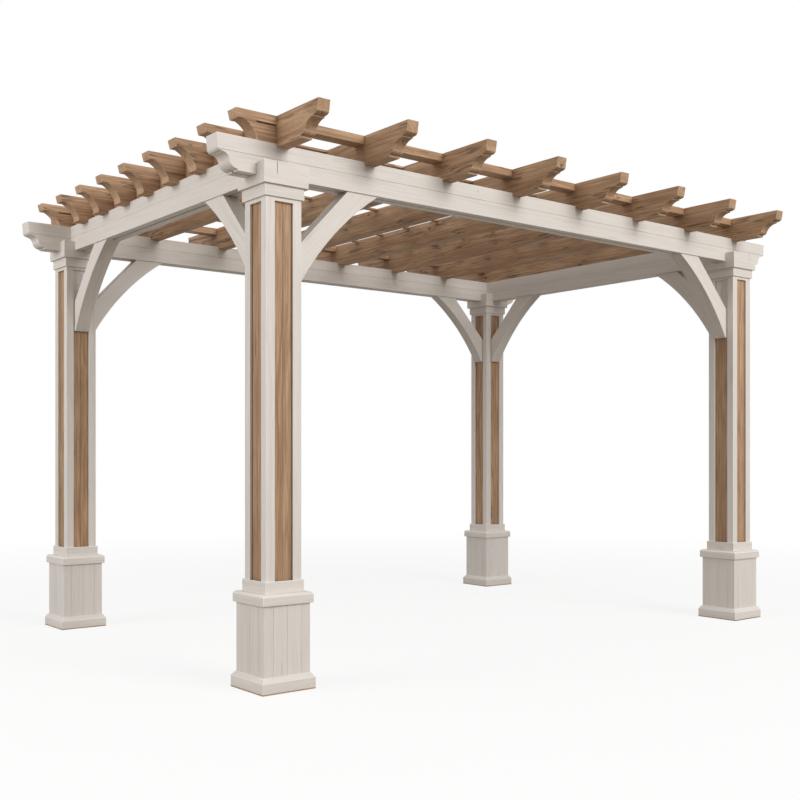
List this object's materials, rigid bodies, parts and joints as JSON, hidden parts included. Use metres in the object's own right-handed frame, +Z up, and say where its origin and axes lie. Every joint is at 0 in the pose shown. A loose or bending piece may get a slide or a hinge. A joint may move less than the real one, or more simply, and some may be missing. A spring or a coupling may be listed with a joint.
{
  "type": "pergola",
  "caption": "Free-standing garden pergola: panelled posts on square pedestals, scroll-cut beams, curved knee braces and an open roof of rafters, laths and corbelled tails.",
  "frame": {"origin": "middle of the four posts, on the ground", "axes": "+X along the long side and the long beams, +Y from front to back along the rafters, +Z up"},
  "size_m": [4.204, 3.144, 2.638],
  "materials": {
    "painted_wood": "matte off-white paint over wood",
    "cedar": "matte stained cedar"
  },
  "bodies": {
    "root": {"foot_pads": "cedar", "plinth_front_left": "painted_wood", "plinth_front_right": "painted_wood", "plinth_back_left": "painted_wood", "plinth_back_right": "painted_wood", "pedestal_front_left": "painted_wood", "pedestal_front_right": "painted_wood", "pedestal_back_left": "painted_wood", "pedestal_back_right": "painted_wood", "pedestal_cap_front_left": "painted_wood", "pedestal_cap_front_right": "painted_wood", "pedestal_cap_back_left": "painted_wood", "pedestal_cap_back_right": "painted_wood", "shaft_front_left": "cedar", "shaft_front_right": "cedar", "shaft_back_left": "cedar", "shaft_back_right": "cedar", "corner_boards_front_left": "painted_wood", "corner_boards_front_right": "painted_wood", "corner_boards_back_left": "painted_wood", "corner_boards_back_right": "painted_wood", "capital_front_left": "painted_wood", "capital_front_right": "painted_wood", "capital_back_left": "painted_wood", "capital_back_right": "painted_wood", "saddle_front_left": "painted_wood", "saddle_front_right": "painted_wood", "saddle_back_left": "painted_wood", "saddle_back_right": "painted_wood", "braces_front_left": "painted_wood", "braces_front_right": "painted_wood", "braces_back_left": "painted_wood", "braces_back_right": "painted_wood", "front_beam": "painted_wood", "back_beam": "painted_wood", "left_beam": "painted_wood", "right_beam": "painted_wood", "rafter_1": "cedar", "rafter_2": "cedar", "rafter_3": "cedar", "rafter_4": "cedar", "rafter_5": "cedar", "rafter_6": "cedar", "rafter_7": "cedar", "rafter_8": "cedar", "edge_purlins": "cedar", "laths": "cedar", "tails": "cedar", "corbels": "cedar"}
  },
  "joints": []
}
